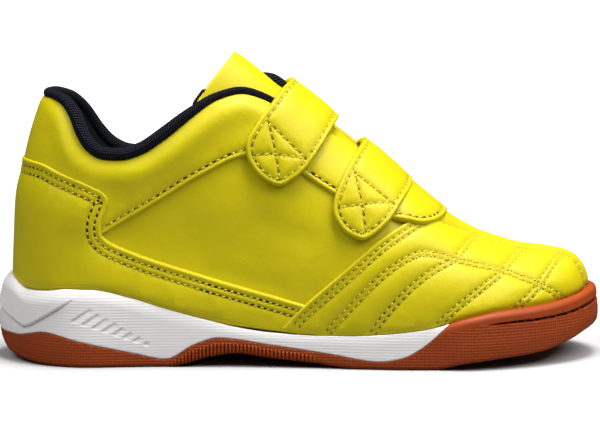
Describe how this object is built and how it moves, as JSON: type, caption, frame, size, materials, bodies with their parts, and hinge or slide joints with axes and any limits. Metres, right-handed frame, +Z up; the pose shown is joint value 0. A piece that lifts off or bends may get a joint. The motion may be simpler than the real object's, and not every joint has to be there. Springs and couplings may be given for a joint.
{
  "type": "indoor court shoe",
  "caption": "Child's low-cut indoor court shoe for the right foot: hollow leather upper, padded collar, tongue and hook-and-loop straps on a moulded midsole and gum rubber outsole.",
  "frame": {"origin": "on the floor, under the middle of the shoe's box", "axes": "+X from heel to toe, +Y from the outer (lateral) side to the inner (medial) side, +Z up"},
  "size_m": [0.2114, 0.08, 0.1063],
  "materials": {
    "outsole": "satin moulded gum rubber",
    "midsole": "fine moulded texture",
    "insole": "brushed textile",
    "upper": "coated synthetic leather with fine grain",
    "vamp_overlay": "quilted coated synthetic leather",
    "heel_counter": "coated synthetic leather with fine grain",
    "collar_panel": "coated synthetic leather with fine grain",
    "collar_binding": "knitted textile",
    "tongue": "coated synthetic leather with fine grain",
    "strap_upper": "quilted coated synthetic leather",
    "strap_lower": "quilted coated synthetic leather"
  },
  "bodies": {
    "root": {"outsole": "outsole", "midsole": "midsole", "insole": "insole", "upper": "upper", "vamp_overlay": "vamp_overlay", "heel_counter": "heel_counter", "collar_panel": "collar_panel", "collar_binding": "collar_binding", "tongue": "tongue", "strap_upper": "strap_upper", "strap_lower": "strap_lower"}
  },
  "joints": []
}
